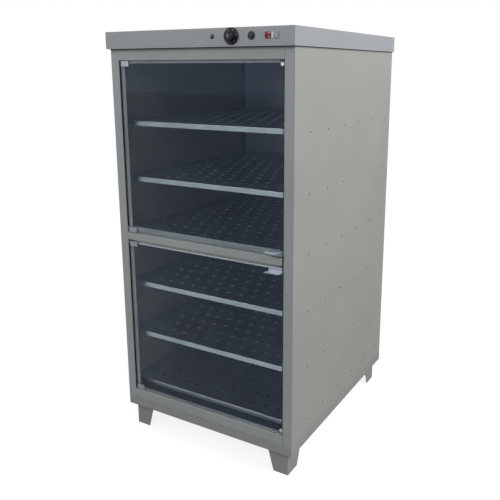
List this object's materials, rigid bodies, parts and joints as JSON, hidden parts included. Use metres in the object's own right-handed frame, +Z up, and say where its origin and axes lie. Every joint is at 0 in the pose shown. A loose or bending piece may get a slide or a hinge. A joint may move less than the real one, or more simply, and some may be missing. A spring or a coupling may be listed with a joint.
{
  "type": "proofing cabinet",
  "caption": "Tall floor-standing heated proofing cabinet in folded steel, with frameless tinted glass doors, perforated shelves on side rails and a control strip in the top cover.",
  "frame": {"origin": "on the floor, under the middle of the object's bounding box", "axes": "+Z up; the doors and controls face -Y; +X to the right of someone facing the doors"},
  "size_m": [0.8148, 1.0028, 1.658],
  "materials": {
    "front_steel": "satin steel, slightly green-grey, front frame",
    "side_steel": "satin steel, warm light grey side and back sheets",
    "cover_steel": "satin steel, cool light grey cover",
    "leg_steel": "satin steel base frame and legs",
    "shelf_steel": "smooth cool steel sheet",
    "rail_steel": "plain folded steel angle",
    "bright_metal": "bright plated clamps, handles and discs",
    "tinted_glass": "dark blue-grey tinted safety glass, polished",
    "black_plastic": "black moulded plastic",
    "grey_plastic": "dark grey moulded plastic",
    "red_lens": "glossy red plastic",
    "white_plastic": "white moulded plastic",
    "clear_plastic": "grey clear plastic",
    "heater_sheath": "heat-darkened steel sheath"
  },
  "bodies": {
    "cabinet": {"left_side_panel": "side_steel", "right_side_panel": "side_steel", "back_panel": "side_steel", "floor_panel": "side_steel", "ceiling_panel": "side_steel", "top_rail": "front_steel", "middle_rail": "front_steel", "bottom_rail": "front_steel", "base_frame": "leg_steel", "leg_front_left": "leg_steel", "leg_front_right": "leg_steel", "leg_back_left": "leg_steel", "leg_back_right": "leg_steel", "top_cover": "cover_steel", "upper_hinge_bush_top": "black_plastic", "upper_hinge_bush_bottom": "black_plastic", "lower_hinge_bush_top": "black_plastic", "lower_hinge_bush_bottom": "black_plastic", "upper_magnet_catch": "black_plastic", "lower_magnet_catch": "black_plastic", "rail_left_1": "rail_steel", "rail_left_2": "rail_steel", "rail_left_3": "rail_steel", "rail_left_4": "rail_steel", "rail_left_5": "rail_steel", "rail_left_6": "rail_steel", "rail_right_1": "rail_steel", "rail_right_2": "rail_steel", "rail_right_3": "rail_steel", "rail_right_4": "rail_steel", "rail_right_5": "rail_steel", "rail_right_6": "rail_steel", "thermostat_body": "grey_plastic", "indicator_lamp": "red_lens", "button_bezel": "black_plastic", "switch_housing": "white_plastic", "switch_window": "clear_plastic", "heating_element": "heater_sheath", "heater_stand": "rail_steel", "heater_terminal_box": "grey_plastic", "cable_gland": "black_plastic"},
    "upper_door": {"upper_door_glass": "tinted_glass", "upper_hinge_clamp_top": "bright_metal", "upper_hinge_clamp_bottom": "bright_metal", "upper_door_handle": "bright_metal", "upper_strike_disc": "bright_metal"},
    "lower_door": {"lower_door_glass": "tinted_glass", "lower_hinge_clamp_top": "bright_metal", "lower_hinge_clamp_bottom": "bright_metal", "lower_door_handle": "bright_metal", "lower_strike_disc": "bright_metal"},
    "knob": {"thermostat_knob": "black_plastic"},
    "button": {"push_button": "black_plastic"},
    "rocker": {"switch_rocker": "red_lens"},
    "shelf_slide_1": {"shelf_1": "shelf_steel"},
    "shelf_slide_2": {"shelf_2": "shelf_steel"},
    "shelf_slide_3": {"shelf_3": "shelf_steel"},
    "shelf_slide_4": {"shelf_4": "shelf_steel"},
    "shelf_slide_5": {"shelf_5": "shelf_steel"},
    "shelf_slide_6": {"shelf_6": "shelf_steel"}
  },
  "joints": [
    {"name": "upper_door_swing", "type": "hinge", "parent": "cabinet", "child": "upper_door", "pos_m": [-0.3515, -0.4549, 1.2135], "axis": [0, 0, -1], "range_deg": [0, 110]},
    {"name": "lower_door_swing", "type": "hinge", "parent": "cabinet", "child": "lower_door", "pos_m": [-0.3515, -0.4549, 0.5082], "axis": [0, 0, -1], "range_deg": [0, 110]},
    {"name": "thermostat_turn", "type": "hinge", "parent": "cabinet", "child": "knob", "pos_m": [0.1655, -0.4797, 1.6295], "axis": [0, 1, 0], "range_deg": [0, 270]},
    {"name": "button_press", "type": "slide", "parent": "cabinet", "child": "button", "axis": [0, 1, 0], "range_m": [0, 0.003], "stiffness_N_per_m": 300},
    {"name": "rocker_tip", "type": "hinge", "parent": "cabinet", "child": "rocker", "pos_m": [0.3093, -0.4799, 1.6295], "axis": [0, 0, -1], "range_deg": [0, 16]},
    {"name": "shelf_1_slide", "type": "slide", "parent": "cabinet", "child": "shelf_slide_1", "axis": [0, -1, 0], "range_m": [0, 0.028]},
    {"name": "shelf_2_slide", "type": "slide", "parent": "cabinet", "child": "shelf_slide_2", "axis": [0, -1, 0], "range_m": [0, 0.028]},
    {"name": "shelf_3_slide", "type": "slide", "parent": "cabinet", "child": "shelf_slide_3", "axis": [0, -1, 0], "range_m": [0, 0.028]},
    {"name": "shelf_4_slide", "type": "slide", "parent": "cabinet", "child": "shelf_slide_4", "axis": [0, -1, 0], "range_m": [0, 0.028]},
    {"name": "shelf_5_slide", "type": "slide", "parent": "cabinet", "child": "shelf_slide_5", "axis": [0, -1, 0], "range_m": [0, 0.028]},
    {"name": "shelf_6_slide", "type": "slide", "parent": "cabinet", "child": "shelf_slide_6", "axis": [0, -1, 0], "range_m": [0, 0.028]}
  ]
}
